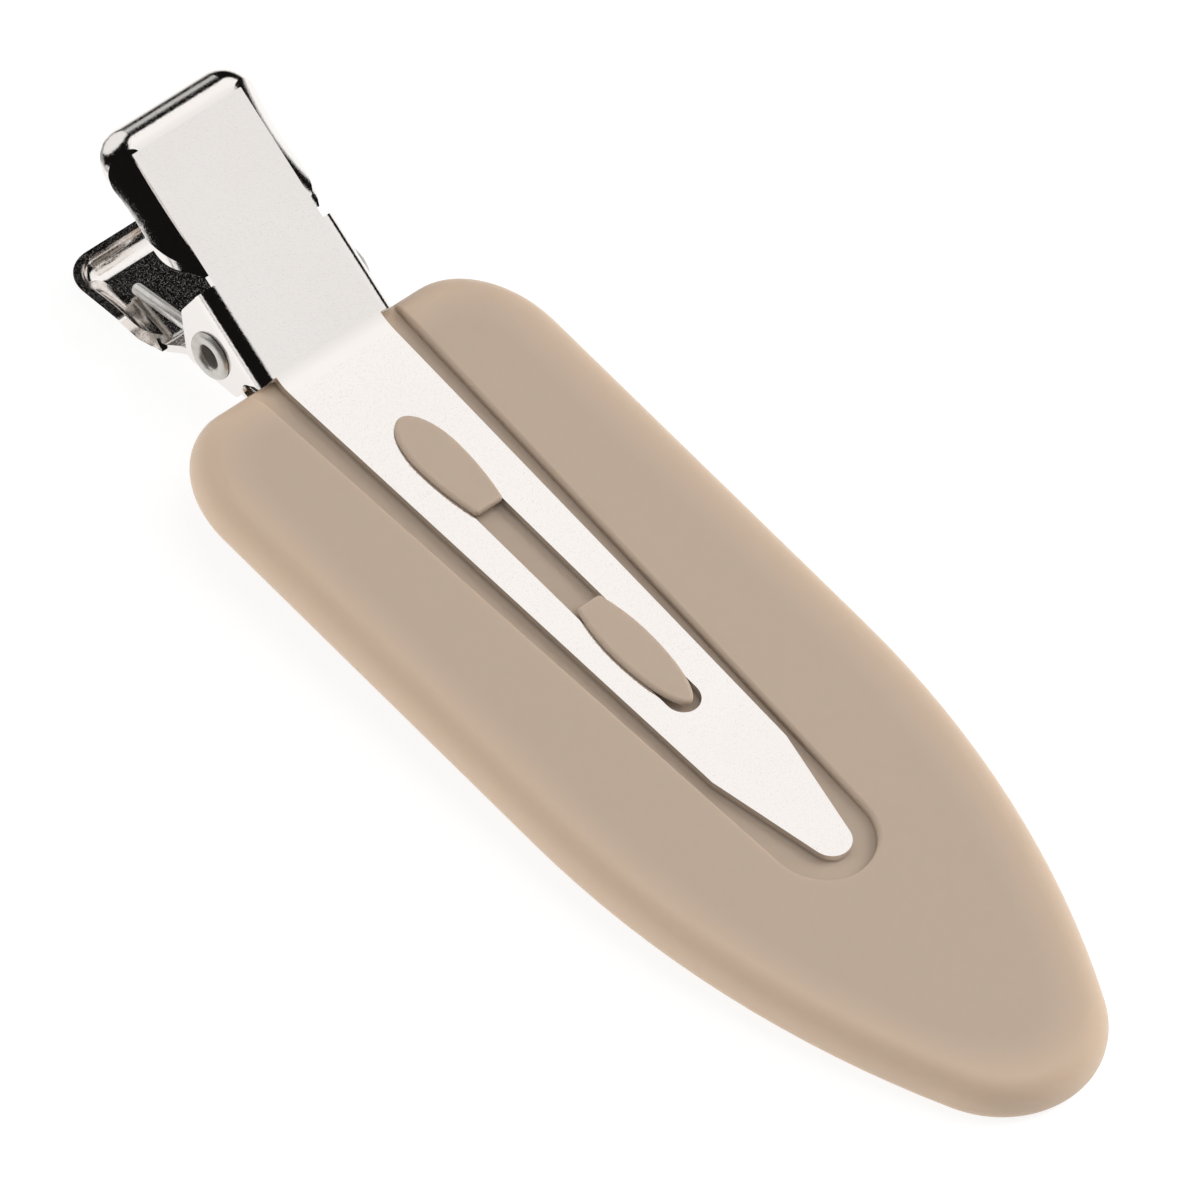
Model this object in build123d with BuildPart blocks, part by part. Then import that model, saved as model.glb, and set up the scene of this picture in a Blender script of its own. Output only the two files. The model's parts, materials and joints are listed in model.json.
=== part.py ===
from build123d import *
import os
from math import asin, atan2, cos, degrees, hypot, radians, sin, sqrt, tan

# Duckbill hair clip with one wide flat grip plate, lying closed on a table.
# Lengths are in millimetres, +X points to the tip of the plate and +Z is up.
# The clip's own frame has its origin at the bend between prong and thumb press, on the
# outer face of the upper prong and half way across the plate. The whole clip lies tilted
# by `lie`, worked out below.

# Steel sheet of both arms
sheet = 0.45
bend_radius = 3.0
arm_shift = 0.15

# Prongs, measured forward from the bend
prong_length = 41.3
prong_kink = 33.6
prong_rear_width = 7.5
prong_kink_width = 5.3
prong_tip_radius = 1.2
slot_start = 6.6
slot_end = 29.4
slot_width = 2.1

# Thumb presses, measured backward from above or below the bend along each press
press_tilt_upper = 26.3
press_tilt_lower = 8.1
press_start_upper = 7.1
press_start_lower = 8.4
press_end_upper = 16.45
press_end_lower = 15.8
press_width = 10.3
press_rear_width_upper = 10.8
press_rear_width_lower = 10.4
press_corner = 2.1
press_roll = 1.7
flange_depth = 1.35
flange_runout = 2.6
flange_lip = 0.15
neck_width = 7.8

# Step by which the lower press lies further out than the saddle in front of it
saddle_tilt_lower = 12.5
press_drop_lower = 1.72
step_start = 7.0
step_radius = 1.4

# Wider roll half way along both sides of each press
swell_radius = 3.3
swell_sweep = 16.0
swell_rise = 0.08

# Folded ears that carry the hinge
ear_start = 0.5
ear_end_upper = 6.5
ear_end_lower = 6.5
ear_fold = 1.0
ear_corner = 0.6
ears_width_upper = 9.8
ear_side_gap = 0.15

# Outline of the upper ears, forward or backward and below or above the hinge axis
upper_ear_front = 2.5
upper_ear_front_drop = 1.25
upper_ear_heel = 1.6
upper_ear_heel_drop = 1.8
upper_ear_back = 2.65
upper_ear_back_rise = 1.15
upper_ear_neck = 1.9
upper_ear_neck_rise = 3.0
upper_ear_top = 1.55
upper_ear_top_rise = 5.0
upper_ear_lip = 0.25
upper_ear_relief = 1.2
upper_ear_relief_drop = 0.7

# Outline of the lower ears, in the same way
lower_ear_front = 2.2
lower_ear_shoulder = 1.9
lower_ear_toe = 0.9
lower_ear_reach = 1.8
lower_ear_rise = 3.0

# Hinge rivet
hinge_back = 4.3
hinge_drop = 0.95
shank_radius = 0.95
shank_clearance = 0.05
rivet_rim_radius = 1.44
rivet_rim_height = 0.3
rivet_rim_round = 0.22
rivet_head_radius = 1.5
rivet_head_height = 0.8
rivet_head_round = 0.6
rivet_bore_radius = 0.7
rivet_bore_depth = 2.6

# Torsion spring
wire_diameter = 0.7
coil_radius = 1.45
coil_pitch = 0.76
coil_full_turns = 5
coil_near_end = 3.15
leg_reach = 13.45
leg_lean = 4.0
leg_gap = 0.05

# Grip plate
plate_length = 60.85
plate_width = 23.9
plate_thickness = 2.25
plate_rear_overhang = 1.11
plate_corner_length = 6.1
plate_corner_width = 4.7
plate_taper_length = 29.65
plate_tip_radius = 6.24
plate_top_round = 1.5
plate_bottom_round = 0.7
groove_depth = 0.5
groove_gap_rear = 1.3
groove_gap_front = 0.42
groove_gap_tip = 1.27
groove_lip_round = 0.25

# Studs that clinch the plate to the upper prong, measured forward from the bend
stud_rear_round_end = 5.45
stud_rear_flat_end = 12.8
stud_rear_widest = 8.6
stud_rear_width = 2.9
stud_rear_flat_width = 1.9
stud_front_flat_end = 20.7
stud_front_round_end = 29.0
stud_front_widest = 24.2
stud_front_width = 2.6
stud_front_flat_width = 1.6
stud_height = 0.35
stud_neck_width = 1.4
stud_flat_inset = 0.35
stud_round_inset = 1.5
stud_corner = 0.25
stud_crown_round = 0.2

# Small gaps between pieces that touch
seat_gap = 0.03
prong_gap = 0.05

# Levels in the clip's own frame, from the outer face of the upper prong downward
groove_floor = -sheet - seat_gap
plate_top = groove_floor + groove_depth
plate_bottom = plate_top - plate_thickness
lower_face = plate_bottom - prong_gap - sheet
hinge_x = -hinge_back
hinge_z = -hinge_drop
hinge_z_lower = lower_face - hinge_z
plate_rear = -plate_rear_overhang
plate_tip = plate_rear + plate_length
ears_width_lower = ears_width_upper - 2 * (sheet + ear_side_gap)


def turned(x, z, angle):
    """The point (x, z) turned about the Y axis, tip down, by an angle in degrees."""
    a = radians(angle)
    return x * cos(a) + z * sin(a), z * cos(a) - x * sin(a)


# The closed clip rests on the underside of the plate's tip and on the roll at the rear
# of the lower press: `lie_angle` turns it until both are level.
tip_rest_x = plate_tip - plate_bottom_round
tip_rest_z = plate_bottom + plate_bottom_round
roll_centre = press_end_lower - press_roll
roll_x, roll_y = turned(-roll_centre, -press_roll, press_tilt_lower)
roll_z = lower_face - press_drop_lower - roll_y
lie_angle = degrees(
    atan2(tip_rest_z - roll_z, tip_rest_x - roll_x)
    + asin((press_roll - plate_bottom_round) / hypot(tip_rest_x - roll_x, tip_rest_z - roll_z))
)
floor_level = turned(tip_rest_x, tip_rest_z, lie_angle)[1] - plate_bottom_round

# Ends of the clip along the table, which set the origin midway between them
rim_reach = roll_centre + sqrt(press_roll**2 - (press_roll - flange_depth) ** 2)
rim_x, rim_y = turned(-rim_reach, -flange_depth, press_tilt_lower)
rear_end = turned(rim_x, lower_face - press_drop_lower - rim_y, lie_angle)[0]
tip_crown = turned(plate_tip - plate_top_round, plate_top - plate_top_round, lie_angle)
front_end = tip_crown[0] + plate_top_round
lie = Location((-(rear_end + front_end) / 2, 0, -floor_level), (0, lie_angle, 0))


def clip_plane(z=0.0, y=0.0, turn=0):
    """A plane of the clip's own frame at height z; a turn of 180 makes it face down."""
    return Plane(lie * Location((0, y, z), (turn, 0, 0)))


def side_plane(plane):
    """The upright plane through a plane's x axis, with the plane's normal as its y."""
    return Plane(origin=plane.origin, x_dir=plane.x_dir, z_dir=-plane.y_dir)


def press_plane(plane, tilt, drop=0.0):
    """The plane of a thumb press: x runs backward along it, z points outward."""
    a = radians(tilt)
    return Plane(
        origin=plane.origin + plane.z_dir * drop,
        x_dir=plane.z_dir * sin(a) - plane.x_dir * cos(a),
        z_dir=plane.z_dir * cos(a) + plane.x_dir * sin(a),
    )


def along_press(distance, tilt, drop=0.0):
    """The point on a press's outer face, seen from the side, at a distance from the bend."""
    return -distance * cos(radians(tilt)), drop + distance * sin(radians(tilt))


def folded_sheet(side, corners):
    """The sheet seen from the side, from the prong's tip over the bend and the other corners."""
    with BuildPart() as band:
        with BuildSketch(side):
            with BuildLine() as face:
                Polyline((prong_length + sheet, 0), (0, 0), *corners)
                for corner in corners[:-1]:
                    fillet(face.vertices().sort_by_distance(corner)[0], step_radius)
                fillet(face.vertices().sort_by_distance((0, 0))[0], bend_radius)
                offset(amount=sheet, side=Side.LEFT)
            make_face()
        extrude(amount=press_width, both=True)
    return band.part


def prong_half(x):
    """Half width of a prong at a distance x in front of the bend."""
    taper = (prong_rear_width - prong_kink_width) / prong_kink
    return prong_rear_width / 2 - taper * x / 2


def arm_outline(arm, press_end):
    """The sheet's outline from above: pointed prong, shoulders and neck."""
    tip_centre = prong_length - prong_tip_radius
    kink_half = prong_kink_width / 2
    run = tip_centre - prong_kink
    lean = atan2(kink_half, run) - asin(prong_tip_radius / hypot(run, kink_half))
    tip_touch_x = tip_centre + prong_tip_radius * sin(lean)
    tip_touch_y = prong_tip_radius * cos(lean)
    shoulder = neck_width / 2
    with BuildPart() as cutter:
        with BuildSketch(arm):
            with BuildLine():
                Polyline(
                    (tip_touch_x, tip_touch_y),
                    (prong_kink, kink_half),
                    (0, prong_half(0)),
                    (-ear_start, prong_half(0)),
                    (-ear_start, shoulder),
                    (-press_end, shoulder),
                    (-press_end, -shoulder),
                    (-ear_start, -shoulder),
                    (-ear_start, -prong_half(0)),
                    (0, -prong_half(0)),
                    (prong_kink, -kink_half),
                    (tip_touch_x, -tip_touch_y),
                )
                ThreePointArc((tip_touch_x, -tip_touch_y), (prong_length, 0), (tip_touch_x, tip_touch_y))
            make_face()
        extrude(amount=press_end, both=True)
    return cutter.part


def saddle(side, thumb, ear_end, ears_width, ear_points):
    """The channel in front of the press, whose folded sides are the two ears."""
    half_width = ears_width / 2
    length = ear_end - ear_start
    middle = (ear_start + ear_end) / 2
    depth = 3 * ear_end
    with BuildPart() as channel:
        with BuildSketch(thumb):
            with Locations((middle, 0)):
                Rectangle(length, 2 * half_width)
        extrude(amount=-depth)
        with BuildSketch(thumb.offset(-sheet)):
            with Locations((middle, 0)):
                Rectangle(length, 2 * (half_width - sheet))
        extrude(amount=-depth, mode=Mode.SUBTRACT)
        along = channel.edges().filter_by(lambda e: abs(e.length - length) < 1e-6)
        outer = [e for e in along if abs(thumb.to_local_coords(e.center()).Z) < 1e-6]
        fillet(outer, ear_fold)
        along = channel.edges().filter_by(lambda e: abs(e.length - length) < 1e-6)
        inner = [
            e
            for e in along
            if abs(thumb.to_local_coords(e.center()).Z + sheet) < 1e-6
            and abs(abs(thumb.to_local_coords(e.center()).Y) - half_width + sheet) < 1e-6
        ]
        fillet(inner, ear_fold - sheet)
        with BuildSketch(side) as ear:
            with BuildLine():
                Polyline(*ear_points, close=True)
            make_face()
            fillet(ear.vertices().sort_by(Axis.X)[0], ear_corner)
            fillet(ear.vertices().sort_by(Axis.Y)[:3], ear_corner)
        extrude(amount=press_width, both=True, mode=Mode.INTERSECT)
    return channel.part


def side_swell(plane, press_start, press_end, inset):
    """A ring that takes a press's near edge down to its wider roll, deepest half way along."""
    radius = swell_radius - inset
    centre_z = swell_rise - swell_radius
    reach = sqrt(swell_radius**2 - (centre_z + flange_depth) ** 2)
    centre_y = reach - press_width / 2
    middle = (press_start + press_end) / 2
    section = Plane(
        origin=plane.from_local_coords((middle, 0, 0)),
        x_dir=plane.y_dir,
        z_dir=plane.x_dir,
    )
    spindle = Axis(plane.from_local_coords((middle, centre_y - swell_sweep, 0)), plane.z_dir)
    outside = centre_y - radius - press_roll
    above = centre_z + radius + press_roll
    with BuildPart() as ring:
        with BuildSketch(section):
            with BuildLine():
                Polyline(
                    (centre_y - radius, centre_z),
                    (outside, centre_z),
                    (outside, above),
                    (centre_y, above),
                    (centre_y, centre_z + radius),
                )
                ThreePointArc(
                    (centre_y, centre_z + radius),
                    (centre_y - radius * sin(radians(45)), centre_z + radius * cos(radians(45))),
                    (centre_y - radius, centre_z),
                )
            make_face()
        revolve(axis=spindle)
    return ring.part


def press_block(plane, press_start, press_end, rear_width, inset):
    """The rounded block that bounds a press from outside, or from inside by the inset."""
    end = press_end - inset
    start = press_start - inset
    front_half = press_width / 2 - inset
    rear_half = rear_width / 2 - inset
    near_ring = side_swell(plane, press_start, press_end, inset)
    far_ring = mirror(near_ring, about=side_plane(plane))
    with BuildPart() as block:
        with BuildSketch(plane.offset(-inset)) as outline:
            with BuildLine():
                Polyline(
                    (start, -front_half),
                    (end, -rear_half),
                    (end, rear_half),
                    (start, front_half),
                    close=True,
                )
            make_face()
            fillet(outline.vertices().sort_by(Axis.X)[-2:], press_corner - inset)
        extrude(amount=-2 * press_roll)
        top = block.faces().sort_by(Axis(plane.origin, plane.z_dir))[-1]
        front = start + 1e-3
        rim = [e for e in top.edges() if plane.to_local_coords(e.center()).X > front]
        fillet(rim, press_roll - inset)
        add(near_ring, mode=Mode.SUBTRACT)
        add(far_ring, mode=Mode.SUBTRACT)
    return block.part


def press_profile(thumb, press_start, press_end):
    """Side view of a press: flange of even depth that runs out towards the neck."""
    runout_end = (press_start + flange_runout, -flange_depth)
    with BuildPart() as keep:
        with BuildSketch(side_plane(thumb)):
            with BuildLine():
                Polyline(
                    (press_start, -flange_lip),
                    (press_start, press_roll),
                    (2 * press_end, press_roll),
                    (2 * press_end, -flange_depth),
                    runout_end,
                )
                Spline(runout_end, (press_start, -flange_lip), tangents=((-1, 0), (-1, 0.2)))
            make_face()
        extrude(amount=press_width, both=True)
    return keep.part


def stamped_arm(arm, corners, channel, thumb, press_start, press_end, rear_width):
    """One arm: prong, saddle with its ears, and press pan, drilled for the rivet."""
    band = folded_sheet(side_plane(arm), corners)
    outline = arm_outline(arm, press_end)
    outer = press_block(thumb, press_start, press_end, rear_width, 0)
    inner = press_block(thumb, press_start, press_end, rear_width, sheet)
    keep = press_profile(thumb, press_start, press_end)
    with BuildPart() as pan:
        add(outer)
        add(inner, mode=Mode.SUBTRACT)
        add(keep, mode=Mode.INTERSECT)
    with BuildPart() as body:
        add(band)
        add(outline, mode=Mode.INTERSECT)
        add(channel)
        add(pan.part)
        with BuildSketch(side_plane(clip_plane(y=arm_shift))):
            with Locations((hinge_x, hinge_z)):
                Circle(shank_radius + shank_clearance)
        extrude(amount=press_width, both=True, mode=Mode.SUBTRACT)
    return body.part


# Ears seen from the side, in each arm's own frame: x forward, y outward from the clip
ear_upper = [
    (-ear_start, sheet),
    (-ear_start, -upper_ear_lip),
    (-2 * ear_start, -upper_ear_lip),
    (-ear_start - upper_ear_relief, -upper_ear_relief_drop),
    (hinge_x + upper_ear_front, hinge_z - upper_ear_front_drop),
    (hinge_x - upper_ear_heel, hinge_z - upper_ear_heel_drop),
    (hinge_x - upper_ear_back, hinge_z + upper_ear_back_rise),
    (hinge_x - upper_ear_neck, hinge_z + upper_ear_neck_rise),
    (hinge_x - upper_ear_top, hinge_z + upper_ear_top_rise),
]
ear_lower = [
    (-ear_start, sheet),
    (hinge_x + lower_ear_front, -sheet),
    (hinge_x + lower_ear_shoulder, hinge_z_lower),
    (hinge_x + lower_ear_toe, hinge_z_lower - lower_ear_reach),
    (hinge_x - lower_ear_toe, hinge_z_lower - lower_ear_reach),
    (hinge_x - lower_ear_shoulder, hinge_z_lower),
    (hinge_x - lower_ear_front, lower_ear_rise),
    (-ear_start, lower_ear_rise),
]

# Upper arm, with the slot for the plate's studs
upper_plane = clip_plane(y=arm_shift)
upper_thumb = press_plane(upper_plane, press_tilt_upper)
upper_channel = saddle(side_plane(upper_plane), upper_thumb, ear_end_upper, ears_width_upper, ear_upper)
upper_blank = stamped_arm(
    upper_plane,
    [along_press(press_end_upper - press_roll, press_tilt_upper)],
    upper_channel,
    upper_thumb,
    press_start_upper,
    press_end_upper,
    press_rear_width_upper,
)
with BuildPart() as upper_arm:
    add(upper_blank)
    with BuildSketch(clip_plane()):
        with Locations(((slot_start + slot_end) / 2, 0)):
            SlotOverall(slot_end - slot_start, slot_width)
    extrude(amount=2 * sheet, both=True, mode=Mode.SUBTRACT)

# Lower arm, turned over under the plate, with a step between its saddle and its press
lower_plane = clip_plane(lower_face, arm_shift, 180)
lower_saddle = press_plane(lower_plane, saddle_tilt_lower)
lower_thumb = press_plane(lower_plane, press_tilt_lower, press_drop_lower)
lower_channel = saddle(side_plane(lower_plane), lower_saddle, ear_end_lower, ears_width_lower, ear_lower)
lower_blank = stamped_arm(
    lower_plane,
    [
        along_press(step_start, saddle_tilt_lower),
        along_press(press_start_lower, press_tilt_lower, press_drop_lower),
        along_press(press_end_lower - press_roll, press_tilt_lower, press_drop_lower),
    ],
    lower_channel,
    lower_thumb,
    press_start_lower,
    press_end_lower,
    press_rear_width_lower,
)
with BuildPart() as lower_arm:
    add(lower_blank)


def stud(round_end, flat_end, widest, width, flat_width):
    """A stud: a neck through the prong's slot and a leaf-shaped head that overlaps it."""
    way = 1 if round_end > flat_end else -1
    neck_flat = flat_end + way * stud_flat_inset
    neck_round = round_end - way * stud_round_inset
    with BuildPart() as head:
        with BuildSketch(clip_plane(seat_gap)) as leaf:
            with BuildLine():
                Line((flat_end, -flat_width / 2), (flat_end, flat_width / 2))
                TangentArc((widest, width / 2), (flat_end, flat_width / 2), tangent=(-way, 0))
                TangentArc((widest, -width / 2), (flat_end, -flat_width / 2), tangent=(-way, 0))
                EllipticalCenterArc(
                    (widest, 0),
                    abs(round_end - widest),
                    width / 2,
                    start_angle=-90 * way,
                    arc_size=180,
                )
            make_face()
            fillet(leaf.vertices().sort_by(Axis.X)[::way][:2], stud_corner)
        extrude(amount=stud_height - seat_gap)
        fillet(head.faces().sort_by(upward)[-1].edges(), stud_crown_round)
        with BuildSketch(clip_plane(groove_floor - stud_height)):
            with Locations(((neck_flat + neck_round) / 2, 0)):
                SlotOverall(abs(neck_round - neck_flat), stud_neck_width)
        extrude(amount=stud_height + sheet + 3 * seat_gap)
    return head.part


# Grip plate: outline with rounded rear corners and sides that close onto a round tip
plate_half = plate_width / 2
taper_x = plate_tip - plate_taper_length
tip_x = plate_tip - plate_tip_radius
taper_run = tip_x - taper_x
side_radius = (taper_run**2 + plate_half**2 - plate_tip_radius**2) / (plate_width - 2 * plate_tip_radius)
swing = asin(taper_run / (side_radius - plate_tip_radius))
touch_x = tip_x + plate_tip_radius * sin(swing)
touch_y = plate_tip_radius * cos(swing)
corner_x = plate_rear + plate_corner_length
corner_y = plate_half - plate_corner_width

# Groove that the prong lies in, open at the rear and round in front of the prong's tip
groove_rear_half = prong_rear_width / 2 + groove_gap_rear
groove_end_radius = prong_kink_width / 2 + groove_gap_front
groove_end_centre = prong_length + groove_gap_tip - groove_end_radius
flare = asin((groove_rear_half - groove_end_radius) / groove_end_centre)
groove_x = groove_end_centre + groove_end_radius * sin(flare)
groove_y = groove_end_radius * cos(flare)
outlet_x = plate_rear - 1
outlet_y = groove_y + (groove_x - outlet_x) * tan(flare)


def on_groove_lip(edge):
    """Whether an edge of the plate is one that borders the groove on its top face."""
    place = clip_plane(plate_top).to_local_coords(edge.center())
    ahead = groove_end_centre + groove_end_radius + seat_gap
    return abs(place.Z) < 1e-4 and place.X < ahead and abs(place.Y) < groove_rear_half


upward = Axis(clip_plane().origin, clip_plane().z_dir)
stud_rear = stud(
    stud_rear_round_end,
    stud_rear_flat_end,
    stud_rear_widest,
    stud_rear_width,
    stud_rear_flat_width,
)
stud_front = stud(
    stud_front_round_end,
    stud_front_flat_end,
    stud_front_widest,
    stud_front_width,
    stud_front_flat_width,
)
with BuildPart() as grip_plate:
    with BuildSketch(clip_plane(plate_bottom)):
        with BuildLine():
            Line((plate_rear, -corner_y), (plate_rear, corner_y))
            EllipticalCenterArc(
                (corner_x, corner_y),
                plate_corner_length,
                plate_corner_width,
                start_angle=90,
                arc_size=90,
            )
            Line((corner_x, plate_half), (taper_x, plate_half))
            TangentArc((taper_x, plate_half), (touch_x, touch_y), tangent=(1, 0))
            ThreePointArc((touch_x, touch_y), (plate_tip, 0), (touch_x, -touch_y))
            TangentArc((taper_x, -plate_half), (touch_x, -touch_y), tangent=(1, 0))
            Line((taper_x, -plate_half), (corner_x, -plate_half))
            EllipticalCenterArc(
                (corner_x, -corner_y),
                plate_corner_length,
                plate_corner_width,
                start_angle=180,
                arc_size=90,
            )
        make_face()
    extrude(amount=plate_thickness)
    fillet(grip_plate.faces().sort_by(upward)[-1].edges(), plate_top_round)
    fillet(grip_plate.faces().sort_by(upward)[0].edges(), plate_bottom_round)
    with BuildSketch(clip_plane(plate_top)):
        with BuildLine():
            Polyline(
                (groove_x, groove_y),
                (outlet_x, outlet_y),
                (outlet_x, -outlet_y),
                (groove_x, -groove_y),
            )
            ThreePointArc(
                (groove_x, -groove_y),
                (groove_end_centre + groove_end_radius, 0),
                (groove_x, groove_y),
            )
        make_face()
    extrude(amount=-groove_depth, mode=Mode.SUBTRACT)
    fillet(grip_plate.edges().filter_by(on_groove_lip), groove_lip_round)
    add(stud_rear)
    add(stud_front)

# Rivet through the four ears: a domed head on the far side, a rolled rim on the near side
ear_face = ears_width_upper / 2 + seat_gap
hinge = Plane(lie * Location((hinge_x, arm_shift, hinge_z), (90, 0, 0)))
with BuildPart() as hinge_pin:
    with BuildSketch(hinge.offset(-ear_face)):
        Circle(shank_radius)
    extrude(amount=2 * ear_face)
    with BuildSketch(hinge.offset(-ear_face)):
        Circle(rivet_head_radius)
    extrude(amount=-rivet_head_height)
    nearward = Axis(hinge.origin, hinge.z_dir)
    fillet(hinge_pin.faces().sort_by(nearward)[0].edges(), rivet_head_round)
    with BuildSketch(hinge.offset(ear_face)):
        Circle(rivet_rim_radius)
    extrude(amount=rivet_rim_height)
    with BuildSketch(hinge.offset(ear_face + rivet_rim_height)):
        Circle(rivet_bore_radius)
    extrude(amount=-rivet_bore_depth, mode=Mode.SUBTRACT)
    fillet(hinge_pin.faces().sort_by(nearward)[-1].edges(), rivet_rim_round)

# Torsion spring round the rivet: the legs leave the coil along its own slope
wire_radius = wire_diameter / 2
normal_upper = radians(press_tilt_upper)
normal_lower = radians(press_tilt_lower)
inside_upper = -hinge_x * sin(normal_upper) - hinge_z * cos(normal_upper)
inside_lower = -hinge_x * sin(normal_lower) + (press_drop_lower - hinge_z_lower) * cos(normal_lower)
leg_upper = inside_upper - sheet - wire_radius - leg_gap
leg_lower = inside_lower - sheet - wire_radius - leg_gap
leg_length = leg_reach - hinge_back
lean_upper = degrees(asin((leg_upper - coil_radius) / leg_length))
lean_lower = degrees(asin((leg_lower - coil_radius) / leg_length))
coil_start = press_tilt_lower + lean_lower + 90
coil_angle = 360 * coil_full_turns + 180 - press_tilt_upper - lean_upper - press_tilt_lower - lean_lower
whole_turns = int(coil_angle // 360)
last_rise = coil_pitch * (coil_angle / 360 - whole_turns)
coil_base = lie * Location((hinge_x, arm_shift - coil_near_end, hinge_z), (90, 0, 0))
coil_base = coil_base * Location((0, 0, 0), (0, 0, coil_start))
leg_slope = radians(press_tilt_lower + lean_lower)
leg_across = tan(radians(leg_lean))
leg_tilted = turned(-cos(leg_slope), -sin(leg_slope), lie_angle)
near_leg_way = Vector(leg_tilted[0], leg_across, leg_tilted[1])
with BuildPart() as torsion_spring:
    for number in range(whole_turns + 1):
        coil_turn = coil_base * Helix(
            coil_pitch,
            coil_pitch if number < whole_turns else last_rise,
            coil_radius,
            center=(0, 0, -number * coil_pitch),
            direction=(0, 0, -1),
            lefthand=True,
        )
        if number == 0:
            first_turn = coil_turn
        with BuildSketch(Plane(origin=coil_turn @ 0, z_dir=coil_turn % 0)):
            Circle(wire_radius)
        sweep(path=coil_turn)
    with BuildSketch(Plane(origin=first_turn @ 0, z_dir=near_leg_way)):
        Circle(wire_radius)
    extrude(amount=leg_length)
    with BuildSketch(Plane(origin=coil_turn @ 1, z_dir=coil_turn % 1)):
        Circle(wire_radius)
    extrude(amount=leg_length)
    ends = torsion_spring.faces().filter_by(GeomType.PLANE).sort_by_distance(hinge.origin)[-2:]
    for end in ends:
        fillet(end.edges(), wire_radius * 0.8)

os.makedirs("parts", exist_ok=True)
upper_arm.part.label = "upper_arm"
export_step(upper_arm.part, "parts/upper_arm.step")
lower_arm.part.label = "lower_arm"
export_step(lower_arm.part, "parts/lower_arm.step")
grip_plate.part.label = "grip_plate"
export_step(grip_plate.part, "parts/grip_plate.step")
hinge_pin.part.label = "hinge_pin"
export_step(hinge_pin.part, "parts/hinge_pin.step")
torsion_spring.part.label = "torsion_spring"
export_step(torsion_spring.part, "parts/torsion_spring.step")
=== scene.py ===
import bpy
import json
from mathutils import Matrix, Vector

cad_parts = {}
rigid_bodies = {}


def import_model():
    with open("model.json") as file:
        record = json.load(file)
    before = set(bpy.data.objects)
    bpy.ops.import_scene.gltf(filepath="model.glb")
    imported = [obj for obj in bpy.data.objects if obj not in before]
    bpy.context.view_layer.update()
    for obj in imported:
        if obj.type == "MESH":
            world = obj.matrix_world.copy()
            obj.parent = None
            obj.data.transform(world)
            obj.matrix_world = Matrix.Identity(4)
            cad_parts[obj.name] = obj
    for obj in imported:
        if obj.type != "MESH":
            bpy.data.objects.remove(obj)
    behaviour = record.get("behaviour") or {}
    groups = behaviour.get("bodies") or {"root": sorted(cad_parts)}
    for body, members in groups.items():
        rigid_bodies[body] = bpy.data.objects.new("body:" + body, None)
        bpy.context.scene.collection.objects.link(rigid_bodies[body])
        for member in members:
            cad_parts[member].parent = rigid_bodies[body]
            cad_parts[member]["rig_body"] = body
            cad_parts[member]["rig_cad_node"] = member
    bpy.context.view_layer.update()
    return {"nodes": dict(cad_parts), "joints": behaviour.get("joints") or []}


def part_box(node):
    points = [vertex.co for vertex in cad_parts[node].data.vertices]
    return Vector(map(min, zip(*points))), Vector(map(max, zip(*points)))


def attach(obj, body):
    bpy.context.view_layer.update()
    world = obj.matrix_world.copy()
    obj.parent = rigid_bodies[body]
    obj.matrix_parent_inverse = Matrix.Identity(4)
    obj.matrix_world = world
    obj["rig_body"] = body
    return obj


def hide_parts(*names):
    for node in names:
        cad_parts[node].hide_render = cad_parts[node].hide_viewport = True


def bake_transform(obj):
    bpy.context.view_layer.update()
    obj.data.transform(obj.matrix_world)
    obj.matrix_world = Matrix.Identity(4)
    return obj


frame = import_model()

# The arms and the grip plate keep their CAD meshes and get procedural finishes. The rivet is turned again
# with its rolled rim, and the torsion spring is a merged copy of its CAD wire.
"""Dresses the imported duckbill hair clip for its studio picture.

The arms and the grip plate keep their CAD meshes and get procedural finishes. The rivet is
turned again with its rolled rim, and the torsion spring follows both thumb presses.
"""

import json
import logging
import math
from dataclasses import dataclass, field
from enum import Enum

import bpy
from mathutils import Matrix, Vector

MM = 0.001
LOG = logging.getLogger("hair_clip")


class Body(Enum):
    """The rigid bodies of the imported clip."""

    UPPER = "upper_half"
    LOWER = "lower_half"


class Slot(Enum):
    """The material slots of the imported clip."""

    SHEET = "steel_sheet"
    PLATE = "moulded_plate"
    RIVET = "steel_rivet"
    WIRE = "spring_wire"


def hinge_point() -> Vector:
    """The middle of the hinge axis, in metres."""
    return Vector(frame["joints"][0]["pos_m"])


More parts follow.
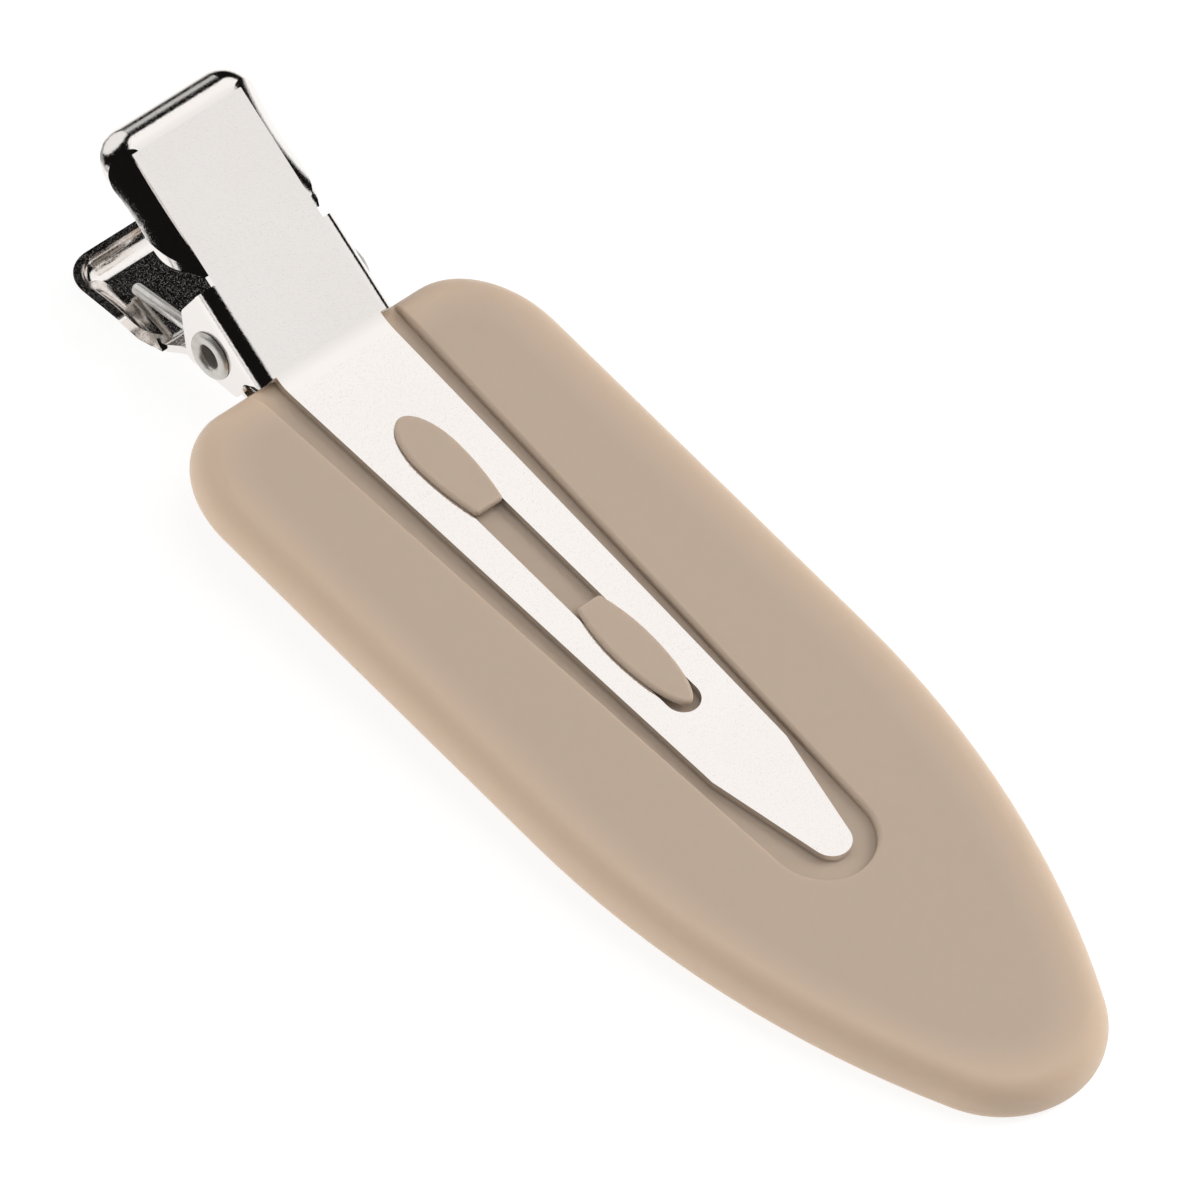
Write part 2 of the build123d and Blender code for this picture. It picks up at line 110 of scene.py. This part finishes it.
class NodeBoard:
    """A material's node tree, with short calls for the nodes that the finishes use."""

    def __init__(self, name: str) -> None:
        self.material = bpy.data.materials.new(name)
        self.material.use_nodes = True
        self.tree = self.material.node_tree
        self.surface = self.tree.nodes["Principled BSDF"]
        self.place = self.tree.nodes.new("ShaderNodeTexCoord").outputs["Object"]

    def link(self, source: bpy.types.NodeSocket, target: bpy.types.NodeSocket) -> None:
        """Links one socket to another."""
        self.tree.links.new(source, target)

    def feed(self, socket: bpy.types.NodeSocket, value: object) -> None:
        """Links a socket, or sets it where the value is a constant.

        Args:
            socket: The input to fill.
            value: A socket to link, or a constant.
        """
        if isinstance(value, bpy.types.NodeSocket):
            self.link(value, socket)
        else:
            socket.default_value = value

    def noise(self, scale: float, detail: float = 3.0, rough: float = 0.5, place: object = None) -> object:
        """A noise pattern.

        Args:
            scale: Features per metre.
            detail: Octaves.
            rough: Weight of the finer octaves.
            place: Coordinates, or None for object coordinates.

        Returns:
            The pattern's value socket.
        """
        node = self.tree.nodes.new("ShaderNodeTexNoise")
        self.link(self.place if place is None else place, node.inputs["Vector"])
        node.inputs["Scale"].default_value = scale
        node.inputs["Detail"].default_value = detail
        node.inputs["Roughness"].default_value = rough
        return node.outputs["Fac"]

    def stretched(self, scale: tuple[float, float, float]) -> object:
        """Object coordinates scaled unevenly, for patterns that run one way.

        Args:
            scale: Factors along X, Y and Z.

        Returns:
            The vector socket.
        """
        node = self.tree.nodes.new("ShaderNodeMapping")
        self.link(self.place, node.inputs["Vector"])
        node.inputs["Scale"].default_value = scale
        return node.outputs["Vector"]

    def ramp(
        self, source: object, low: float, high: float, out_low: float = 0.0, out_high: float = 1.0
    ) -> object:
        """A smooth step of a value from one range to another.

        Args:
            source: The value to map.
            low: Where the step starts.
            high: Where the step ends.
            out_low: The value before the step.
            out_high: The value after the step.

        Returns:
            The result's socket.
        """
        node = self.tree.nodes.new("ShaderNodeMapRange")
        node.interpolation_type = "SMOOTHSTEP"
        self.feed(node.inputs["Value"], source)
        node.inputs["From Min"].default_value = low
        node.inputs["From Max"].default_value = high
        node.inputs["To Min"].default_value = out_low
        node.inputs["To Max"].default_value = out_high
        return node.outputs["Result"]

    def calc(self, operation: str, first: object, second: object = 0.0) -> object:
        """One step of arithmetic.

        Args:
            operation: The name of Blender's math operation.
            first: The first value or socket.
            second: The second value or socket.

        Returns:
            The result's socket.
        """
        node = self.tree.nodes.new("ShaderNodeMath")
        node.operation = operation
        self.feed(node.inputs[0], first)
        self.feed(node.inputs[1], second)
        return node.outputs[0]

    def smooth_least(self, first: object, second: object, blend: float) -> object:
        """The smaller of two values, with a rounded corner between them.

        Args:
            first: The first value or socket.
            second: The second value or socket.
            blend: The width of the rounding.

        Returns:
            The result's socket.
        """
        node = self.tree.nodes.new("ShaderNodeMath")
        node.operation = "SMOOTH_MIN"
        self.feed(node.inputs[0], first)
        self.feed(node.inputs[1], second)
        node.inputs[2].default_value = blend
        return node.outputs[0]

    def mix(self, factor: object, first: object, second: object) -> object:
        """A mix of two colours.

        Args:
            factor: The share of the second colour.
            first: The first colour or socket.
            second: The second colour or socket.

        Returns:
            The colour socket.
        """
        node = self.tree.nodes.new("ShaderNodeMix")
        node.data_type = "RGBA"
        self.feed(node.inputs["Factor"], factor)
        self.feed(node.inputs["A"], first)
        self.feed(node.inputs["B"], second)
        return node.outputs["Result"]

    def bump(self, height: object, strength: float, distance: float, normal: object = None) -> object:
        """A bumped normal.

        Args:
            height: The height pattern.
            strength: The share of the full effect.
            distance: The height of the pattern's full range, in metres.
            normal: A normal to add to, or None.

        Returns:
            The normal socket.
        """
        node = self.tree.nodes.new("ShaderNodeBump")
        node.inputs["Strength"].default_value = strength
        node.inputs["Distance"].default_value = distance
        self.link(height, node.inputs["Height"])
        if normal is not None:
            self.link(normal, node.inputs["Normal"])
        return node.outputs["Normal"]


@dataclass(frozen=True)
class BrightNickel:
    """Bright nickel plating on pressed steel sheet, with fine scratches, dull specks and pits."""

    colour: tuple = (0.87, 0.835, 0.805, 1.0)
    worn_colour: tuple = (0.84, 0.80, 0.77, 1.0)
    worn_share: float = 0.35
    roughness: float = 0.07
    speck_roughness: float = 0.14
    speck_scale: float = 9000.0
    pit_scale: float = 11000.0
    pit_depth: float = 0.0014 * MM
    scratch_scale: float = 900.0
    scratch_stretch: float = 14.0
    scratch_share: float = 0.6
    wave_scale: float = 160.0
    wave_depth: float = 0.02 * MM

    def make(self) -> bpy.types.Material:
        """Builds the material.

        Returns:
            The finished material.
        """
        board = NodeBoard("bright_nickel")
        specks = board.ramp(board.noise(self.speck_scale, 2.0, 0.6), 0.60, 0.72)
        along = board.stretched((1.0, self.scratch_stretch, 1.0))
        scratches = board.ramp(board.noise(self.scratch_scale, 4.0, 0.7, along), 0.62, 0.75)
        marks = board.calc("MAXIMUM", specks, board.calc("MULTIPLY", scratches, self.scratch_share))
        cloud = board.ramp(board.noise(self.wave_scale, 3.0), 0.3, 0.7)
        board.link(board.mix(board.calc("MULTIPLY", cloud, self.worn_share), self.colour, self.worn_colour),
                   board.surface.inputs["Base Color"])
        board.link(board.ramp(marks, 0.0, 1.0, self.roughness, self.speck_roughness),
                   board.surface.inputs["Roughness"])
        board.surface.inputs["Metallic"].default_value = 1.0
        pits = board.ramp(board.noise(self.pit_scale, 2.0, 0.7), 0.50, 0.70)
        pitted = board.bump(pits, 1.0, self.pit_depth)
        board.link(board.bump(board.noise(self.wave_scale, 2.0), 0.5, self.wave_depth, pitted),
                   board.surface.inputs["Normal"])
        return board.material


@dataclass(frozen=True)
class SatinSteel:
    """Plain plated steel of the rivet and the spring wire, with fine grain and faint stains."""

    name: str
    colour: tuple
    roughness: float = 0.28
    stain: tuple = (0.50, 0.45, 0.39, 1.0)
    stain_scale: float = 700.0
    stain_share: float = 0.5
    metal_share: float = 0.8
    grain_scale: float = 2600.0
    grain_roughness: float = 0.2
    grain_depth: float = 0.004 * MM

    def make(self) -> bpy.types.Material:
        """Builds the material.

        Returns:
            The finished material.
        """
        board = NodeBoard(self.name)
        grain = board.noise(self.grain_scale, 4.0, 0.6)
        patches = board.ramp(board.noise(self.stain_scale, 3.0), 0.48, 0.68)
        board.link(board.mix(board.calc("MULTIPLY", patches, self.stain_share), self.colour, self.stain),
                   board.surface.inputs["Base Color"])
        board.link(board.ramp(grain, 0.3, 0.75, self.roughness, self.roughness + self.grain_roughness),
                   board.surface.inputs["Roughness"])
        board.surface.inputs["Metallic"].default_value = self.metal_share
        board.link(board.bump(grain, 0.3, self.grain_depth), board.surface.inputs["Normal"])
        return board.material


@dataclass(frozen=True)
class TranslucentPlastic:
    """Taupe moulded plastic, translucent, whose colour turns warmer and paler towards its thin rim: a
    painted glow of light shining through the rim.
    """

    half_width: float
    rear_x: float
    tip_x: float
    taper_x: float
    side_radius: float
    colour: tuple = (0.455, 0.360, 0.282, 1.0)
    # Painted light: the rim colour and its width paint a paler, warmer glow towards the outline, where
    # light shines through the thin rim.
    painted_glow_colour: tuple = (0.56, 0.43, 0.32, 1.0)
    painted_glow_width: float = 3.6 * MM
    corner_blend: float = 5.0 * MM
    roughness: float = 0.45
    grain_scale: float = 1400.0
    grain_depth: float = 0.01 * MM
    translucency: float = 0.4
    light_reach: tuple = (1.0, 0.72, 0.5)
    reach_depth: float = 0.7 * MM
    refraction: float = 1.49
    sheen_level: float = 0.4

    def rim_distance(self, board: NodeBoard) -> object:
        """The distance inward from the plate's outline.

        Args:
            board: The material's node board.

        Returns:
            The distance's socket, in metres.
        """
        split = board.tree.nodes.new("ShaderNodeSeparateXYZ")
        board.link(board.place, split.inputs["Vector"])
        along, across = split.outputs["X"], board.calc("ABSOLUTE", split.outputs["Y"])
        ahead = board.calc("MAXIMUM", board.calc("SUBTRACT", along, self.taper_x), 0.0)
        arm = board.calc("ADD", across, self.side_radius - self.half_width)
        reach = board.calc("SQRT", board.calc("ADD", board.calc("MULTIPLY", ahead, ahead),
                                              board.calc("MULTIPLY", arm, arm)))
        side = board.calc("SUBTRACT", self.side_radius, reach)
        front = board.calc("SUBTRACT", self.tip_x, along)
        rear = board.calc("SUBTRACT", along, self.rear_x)
        ends = board.smooth_least(front, rear, self.corner_blend)
        return board.smooth_least(side, ends, self.corner_blend)

    def make(self) -> bpy.types.Material:
        """Builds the material.

        Returns:
            The finished material.
        """
        board = NodeBoard("translucent_taupe_plastic")
        # Painted glow: the base colour turns to the painted rim colour towards the outline, standing in for
        # light shining through the thin rim.
        glow = board.ramp(self.rim_distance(board), 0.0, self.painted_glow_width, 1.0, 0.0)
        board.link(board.mix(glow, self.colour, self.painted_glow_colour), board.surface.inputs["Base Color"])
        grain = board.noise(self.grain_scale, 3.0, 0.55)
        board.link(board.ramp(grain, 0.3, 0.7, self.roughness - 0.04, self.roughness + 0.05),
                   board.surface.inputs["Roughness"])
        board.surface.inputs["Subsurface Weight"].default_value = self.translucency
        board.surface.inputs["Subsurface Radius"].default_value = self.light_reach
        board.surface.inputs["Subsurface Scale"].default_value = self.reach_depth
        board.surface.inputs["IOR"].default_value = self.refraction
        board.surface.inputs["Specular IOR Level"].default_value = self.sheen_level
        board.link(board.bump(grain, 0.12, self.grain_depth), board.surface.inputs["Normal"])
        return board.material


@dataclass(frozen=True)
class StudioPaper:
    """Matt white film on a small light table, which ends in the dark some way from the clip."""

    colour: tuple = (0.26, 0.26, 0.26, 1.0)
    roughness: float = 0.9
    light: tuple = (1.0, 1.0, 1.0, 1.0)
    glow: float = 0.80
    table_radius: float = 75.0 * MM
    table_end: float = 170.0 * MM
    beyond: float = 0.05

    def make(self) -> bpy.types.Material:
        """Builds the material.

        Returns:
            The finished material.
        """
        board = NodeBoard("studio_paper")
        board.surface.inputs["Base Color"].default_value = self.colour
        board.surface.inputs["Roughness"].default_value = self.roughness
        board.surface.inputs["Emission Color"].default_value = self.light
        away = board.tree.nodes.new("ShaderNodeVectorMath")
        away.operation = "LENGTH"
        board.link(board.place, away.inputs[0])
        light = board.ramp(away.outputs["Value"], self.table_radius, self.table_end, self.glow, self.beyond)
        board.link(light, board.surface.inputs["Emission Strength"])
        return board.material


def dress(obj: bpy.types.Object, material: bpy.types.Material) -> None:
    """Gives an object one material.

    Args:
        obj: The object to dress.
        material: The material for all its faces.
    """
    if not obj.material_slots:
        obj.data.materials.append(material)
    for slot in obj.material_slots:
        slot.material = material


def deselect_all() -> None:
    """Deselects every object."""
    bpy.ops.object.select_all(action="DESELECT")


def activate(obj: bpy.types.Object) -> None:
    """Selects one object alone and makes it active."""
    deselect_all()
    obj.select_set(True)
    bpy.context.view_layer.objects.active = obj


def settle(obj: bpy.types.Object) -> None:
    """Puts an object's place, turn and size into its mesh."""
    activate(obj)
    bpy.ops.object.transform_apply(location=True, rotation=True, scale=True)


def turned_shell(
    name: str, centre: Vector, profile: list[tuple[float, float]], sides: int
) -> bpy.types.Object:
    """Turns a closed shell about the Y axis from rings that are extruded one after another.

    Args:
        name: The piece's name.
        centre: A point on the axis, in metres.
        profile: Radius and place along Y of each ring, in metres, from one pole to the other.
        sides: Vertices round each ring.

    Returns:
        The finished object, its place in its mesh.
    """
    deselect_all()
    start_radius, start_y = profile[0]
    bpy.ops.mesh.primitive_circle_add(
        vertices=sides,
        radius=start_radius,
        fill_type="NGON",
        location=(centre.x, centre.y + start_y, centre.z),
        rotation=(math.pi / 2, 0, 0),
    )
    obj = bpy.context.object
    obj.name = name
    obj.data.name = name
    settle(obj)
    bpy.ops.object.mode_set(mode="EDIT")
    bpy.ops.mesh.select_all(action="SELECT")
    radius, place = start_radius, start_y
    for next_radius, next_place in profile[1:]:
        bpy.ops.mesh.extrude_region_move(TRANSFORM_OT_translate={"value": (0, next_place - place, 0)})
        ratio = next_radius / radius
        ring_centre = (centre.x, centre.y + next_place, centre.z)
        bpy.ops.transform.resize(value=(ratio, 1, ratio), center_override=ring_centre)
        radius, place = next_radius, next_place
    bpy.ops.mesh.select_all(action="SELECT")
    bpy.ops.mesh.normals_make_consistent(inside=False)
    bpy.ops.object.mode_set(mode="OBJECT")
    return obj


@dataclass
class StampedArms:
    """The two pressed steel arms, whose CAD meshes stay."""

    nodes: tuple = ("upper_arm", "lower_arm")
    finish: BrightNickel = field(default_factory=BrightNickel)

    def build(self) -> None:
        """Dresses both arms in nickel."""
        nickel = self.finish.make()
        for name in self.nodes:
            dress(frame["nodes"][name], nickel)
            LOG.info("%s dressed", name)


@dataclass
class GripPlate:
    """The wide moulded plate under the upper prong, whose CAD mesh stays."""

    node: str = "grip_plate"
    taper_length: float = 29.65 * MM
    tip_radius: float = 6.24 * MM

    def build(self) -> None:
        """Dresses the plate, its painted rim glow worked out from its own outline."""
        low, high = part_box(self.node)
        half = high.y
        reach = self.taper_length - self.tip_radius
        side_radius = (reach**2 + half**2 - self.tip_radius**2) / (2 * half - 2 * self.tip_radius)
        finish = TranslucentPlastic(
            half_width=half,
            rear_x=low.x,
            tip_x=high.x,
            taper_x=high.x - self.taper_length,
            side_radius=side_radius,
        )
        dress(frame["nodes"][self.node], finish.make())
        LOG.info("%s dressed", self.node)


@dataclass
class HingeRivet:
    """The tubular rivet, turned with a rolled rim on the near side and a domed far head."""

    node: str = "hinge_pin"
    shank: float = 0.95 * MM
    bore: float = 0.7 * MM
    rim: float = 1.44 * MM
    rim_height: float = 0.3 * MM
    head: float = 1.5 * MM
    head_height: float = 0.8 * MM
    bore_depth: float = 2.6 * MM
    pole: float = 0.02 * MM
    sides: int = 48
    rim_steps: int = 8
    crown_steps: int = 6
    crown_fullness: float = 0.6
    crease: float = 50.0
    finish: SatinSteel = SatinSteel("satin_rivet_steel", colour=(0.60, 0.575, 0.54, 1.0))

    def profile(self) -> list[tuple[float, float]]:
        """The rivet's rings from the bottom of its bore to the crown of its far head.

        Returns:
            Radius and place along Y of each ring, in metres.
        """
        low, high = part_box(self.node)
        near, far = low.y, high.y
        rim_seat, head_seat = near + self.rim_height, far - self.head_height
        rings = [(self.pole, near + self.bore_depth), (self.bore, near + self.bore_depth)]
        rings.append((self.bore, rim_seat))
        middle = (self.bore + self.rim) / 2
        swell = (self.rim - self.bore) / 2
        for step in range(self.rim_steps + 1):
            angle = math.pi * step / self.rim_steps
            rings.append((middle - swell * math.cos(angle), rim_seat - self.rim_height * math.sin(angle)))
        rings += [(self.shank, rim_seat), (self.shank, head_seat), (self.head, head_seat)]
        for step in range(1, self.crown_steps):
            angle = math.pi / 2 * step / self.crown_steps
            radius = self.head * math.cos(angle) ** self.crown_fullness
            rings.append((radius, head_seat + self.head_height * math.sin(angle)))
        rings.append((self.pole, far))
        return rings

    def build(self) -> None:
        """Turns the rivet, dresses it and sets it on the upper half."""
        axis = hinge_point()
        centre = Vector((axis.x, 0, axis.z))
        rivet = turned_shell("rolled_rivet", centre, self.profile(), self.sides)
        activate(rivet)
        bpy.ops.object.shade_smooth_by_angle(angle=math.radians(self.crease))
        dress(rivet, self.finish.make())
        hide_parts(self.node)
        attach(rivet, Body.UPPER.value)
        LOG.info("%s turned", rivet.name)


@dataclass
class ReturnSpring:
    """The torsion spring, a merged copy of its CAD wire. one leg follows each half and the coil twists
    between them.
    """

    node: str = "torsion_spring"
    near_turn: float = -2.35 * MM
    far_turn: float = 1.08 * MM
    merge_gap: float = 0.002 * MM
    crease: float = 60.0
    finish: SatinSteel = SatinSteel("drawn_spring_wire", colour=(0.80, 0.78, 0.75, 1.0), roughness=0.3)

    def build(self) -> None:
        """Copies the CAD wire, merges it, smooths its shading and dresses it.

        The copy is a new piece, so the tags that mark the CAD node come off it.
        """
        source = frame["nodes"][self.node]
        activate(source)
        bpy.ops.object.duplicate()
        wire = bpy.context.object
        wire.name = "twisting_spring"
        wire.data.name = "twisting_spring"
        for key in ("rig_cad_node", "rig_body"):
            if key in wire:
                del wire[key]
        wire.parent = None
        bpy.ops.object.mode_set(mode="EDIT")
        bpy.ops.mesh.select_all(action="SELECT")
        bpy.ops.mesh.remove_doubles(threshold=self.merge_gap)
        bpy.ops.object.mode_set(mode="OBJECT")
        bpy.ops.object.shade_smooth_by_angle(angle=math.radians(self.crease))
        dress(wire, self.finish.make())
        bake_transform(wire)
        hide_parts(self.node)
        LOG.info("%s copied", wire.name)


@dataclass(frozen=True)
class Softbox:
    """A square soft light aimed at the clip, which metal does not mirror."""

    name: str
    place: tuple
    size: float
    watts: float

    def build(self) -> None:
        """Adds the light."""
        data = bpy.data.lights.new(self.name, "AREA")
        data.shape = "SQUARE"
        data.size = self.size
        data.energy = self.watts
        light = bpy.data.objects.new(self.name, data)
        bpy.context.scene.collection.objects.link(light)
        light.location = self.place
        light.rotation_euler = (-Vector(self.place)).to_track_quat("-Z", "Y").to_euler()
        light.visible_glossy = False


@dataclass
class Studio:
    """The camera at the photograph's angle, the white paper floor and the soft light."""

    azimuth: float = 41.85
    elevation: float = 49.88
    roll: float = 7.99
    lens: float = 1200.0
    sensor: float = 36.0
    image_px: int = 1200
    px_per_mm: float = 18.75
    aim: tuple = (-0.852 * MM, 0.714 * MM, 4.461 * MM)
    floor_half: float = 4.0
    near_clip: float = 0.01
    far_clip: float = 20.0
    lights: tuple = (
        Softbox("ceiling_softbox", (0.06, 0.10, 0.75), 0.55, 1.5),
        Softbox("key_softbox", (0.14, 0.42, 0.26), 0.28, 1.9),
        Softbox("near_softbox", (-0.26, -0.42, 0.12), 0.28, 1.3),
    )
    softbox_axis: tuple = (0.05, 0.62, 0.78)
    softbox_reach: float = 31.0
    card_axis: tuple = (-0.90, -0.05, 0.42)
    card_reach: float = 32.0
    low_card_axis: tuple = (-0.15, -0.98, -0.14)
    low_card_reach: float = 25.0
    patch_edge: float = 2.5
    bright: tuple = (1.09, 1.085, 1.08, 1.0)
    bright_ahead: tuple = (0.93, 0.93, 0.93, 1.0)
    dark: tuple = (0.006, 0.005, 0.005, 1.0)
    even_light: float = 0.45
    even_colour: tuple = (1.0, 1.0, 1.0, 1.0)
    fade_start: float = -0.05
    fade_end: float = 0.45

    def camera(self) -> None:
        """Sets the camera up with the photograph's direction, roll and framing."""
        turn, rise = math.radians(self.azimuth), math.radians(self.elevation)
        back = Vector((math.sin(turn) * math.cos(rise), -math.cos(turn) * math.cos(rise), math.sin(rise)))
        right = Vector((math.cos(turn), math.sin(turn), 0.0))
        up = back.cross(right)
        roll = math.radians(self.roll)
        rolled_right = right * math.cos(roll) + up * math.sin(roll)
        rolled_up = back.cross(rolled_right)
        distance = self.lens / self.sensor * self.image_px / self.px_per_mm * MM
        data = bpy.data.cameras.new("product_camera")
        data.lens = self.lens
        data.sensor_width = self.sensor
        data.clip_start = self.near_clip
        data.clip_end = self.far_clip
        camera = bpy.data.objects.new("product_camera", data)
        bpy.context.scene.collection.objects.link(camera)
        turned = Matrix((rolled_right, rolled_up, back)).transposed().to_4x4()
        camera.matrix_world = Matrix.Translation(Vector(self.aim) + back * distance) @ turned
        bpy.context.scene.camera = camera

    def floor(self) -> None:
        """Lays the paper that the clip rests on."""
        deselect_all()
        bpy.ops.mesh.primitive_plane_add(size=2 * self.floor_half, location=(0, 0, 0))
        paper = bpy.context.object
        paper.name = "paper_floor"
        dress(paper, StudioPaper().make())

    def patch(self, tree: bpy.types.NodeTree, place: object, axis: tuple, reach: float) -> object:
        """A round patch of the room with a soft edge.

        Args:
            tree: The room's node tree.
            place: The socket of the direction looked in.
            axis: The direction of the patch's middle.
            reach: The angle from its middle to its edge, in degrees.

        Returns:
            The socket that is 1 inside the patch and 0 outside.
        """
        facing = tree.nodes.new("ShaderNodeVectorMath")
        facing.operation = "DOT_PRODUCT"
        facing.inputs[1].default_value = Vector(axis).normalized()
        tree.links.new(place, facing.inputs[0])
        inside = tree.nodes.new("ShaderNodeMapRange")
        inside.interpolation_type = "SMOOTHSTEP"
        inside.inputs["From Min"].default_value = math.cos(math.radians(reach + self.patch_edge))
        inside.inputs["From Max"].default_value = math.cos(math.radians(reach - self.patch_edge))
        tree.links.new(facing.outputs["Value"], inside.inputs["Value"])
        return inside.outputs["Result"]

    def blend_colours(
        self, tree: bpy.types.NodeTree, factor: object, first: object, second: object
    ) -> object:
        """A mix of two colours of the room.

        Args:
            tree: The room's node tree.
            factor: The socket with the share of the second colour.
            first: The first colour or socket.
            second: The second colour or socket.

        Returns:
            The colour socket.
        """
        node = tree.nodes.new("ShaderNodeMix")
        node.data_type = "RGBA"
        tree.links.new(factor, node.inputs["Factor"])
        for name, value in (("A", first), ("B", second)):
            if isinstance(value, bpy.types.NodeSocket):
                tree.links.new(value, node.inputs[name])
            else:
                node.inputs[name].default_value = value
        return node.outputs["Result"]

    def surroundings(self) -> None:
        """The room: metal mirrors a large softbox and two white cards in a dark studio."""
        world = bpy.data.worlds.new("softbox_room")
        bpy.context.scene.world = world
        world.use_nodes = True
        tree = world.node_tree
        tree.nodes.clear()
        place = tree.nodes.new("ShaderNodeTexCoord").outputs["Generated"]
        parts = tree.nodes.new("ShaderNodeSeparateXYZ")
        tree.links.new(place, parts.inputs["Vector"])
        ahead = tree.nodes.new("ShaderNodeMapRange")
        ahead.inputs["From Min"].default_value = self.fade_start
        ahead.inputs["From Max"].default_value = self.fade_end
        tree.links.new(parts.outputs["X"], ahead.inputs["Value"])
        softbox = self.blend_colours(tree, ahead.outputs["Result"], self.bright, self.bright_ahead)
        overhead = self.patch(tree, place, self.softbox_axis, self.softbox_reach)
        card = self.patch(tree, place, self.card_axis, self.card_reach)
        low_card = self.patch(tree, place, self.low_card_axis, self.low_card_reach)
        with_low_card = self.blend_colours(tree, low_card, self.dark, self.bright_ahead)
        with_cards = self.blend_colours(tree, card, with_low_card, self.bright_ahead)
        mirrored_colour = self.blend_colours(tree, overhead, with_cards, softbox)
        mirrored = tree.nodes.new("ShaderNodeBackground")
        tree.links.new(mirrored_colour, mirrored.inputs["Color"])
        even = tree.nodes.new("ShaderNodeBackground")
        even.inputs["Color"].default_value = self.even_colour
        even.inputs["Strength"].default_value = self.even_light
        path = tree.nodes.new("ShaderNodeLightPath")
        either = tree.nodes.new("ShaderNodeMixShader")
        tree.links.new(path.outputs["Is Glossy Ray"], either.inputs["Fac"])
        tree.links.new(even.outputs["Background"], either.inputs[1])
        tree.links.new(mirrored.outputs["Background"], either.inputs[2])
        output = tree.nodes.new("ShaderNodeOutputWorld")
        tree.links.new(either.outputs["Shader"], output.inputs["Surface"])

    def build(self) -> None:
        """Sets up floor, lights, room, camera and the picture's tone."""
        self.floor()
        for light in self.lights:
            light.build()
        self.surroundings()
        self.camera()
        bpy.context.scene.view_settings.view_transform = "Standard"
        LOG.info("studio ready")


def main() -> None:
    """Builds the clip's looks piece by piece, then the studio around it."""
    logging.basicConfig(level=logging.INFO, format="%(message)s")
    StampedArms().build()
    GripPlate().build()
    HingeRivet().build()
    ReturnSpring().build()
    Studio().build()


if __name__ == "__main__":
    main()
